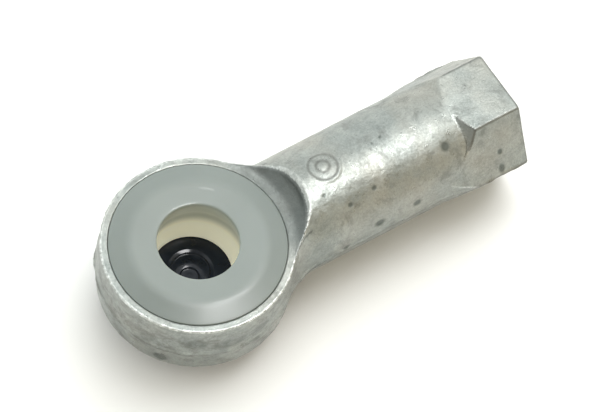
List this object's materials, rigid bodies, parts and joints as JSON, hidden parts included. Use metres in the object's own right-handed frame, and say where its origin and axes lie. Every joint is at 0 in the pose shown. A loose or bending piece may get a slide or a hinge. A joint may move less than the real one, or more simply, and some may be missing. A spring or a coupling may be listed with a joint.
{
  "type": "rod end ball socket",
  "caption": "In-line rod end with a round eye holding a nylon ball socket and a closing cap, a round shank and a hexagonal end with a female thread.",
  "frame": {"origin": "on the shank's axis, at the centre of the bounding box; the eye's axis crosses the shank's axis 17.2 mm towards -X", "axes": "+Z parallel to the eye's axis towards the open side of the socket, +X along the shank towards the hexagonal end, +Y completes a right-handed frame"},
  "size_m": [0.0608, 0.0264, 0.0164],
  "materials": {
    "zinc_casting": "bare zinc die casting, satin, lightly mottled",
    "natural_nylon": "natural nylon, slightly translucent, semi-gloss",
    "black_acetal": "glossy black"
  },
  "bodies": {
    "housing": {"housing": "zinc_casting"},
    "ball_seat": {"ball_seat": "natural_nylon"},
    "end_cap": {"end_cap": "black_acetal"}
  },
  "joints": [
    {"name": "seat_turn", "type": "hinge", "parent": "housing", "child": "ball_seat", "pos_m": [-0.0172, 0, 0], "axis": [0, 0, 1], "continuous": true},
    {"name": "cap_turn", "type": "hinge", "parent": "ball_seat", "child": "end_cap", "pos_m": [-0.0172, 0, 0], "axis": [0, 0, 1], "continuous": true}
  ]
}
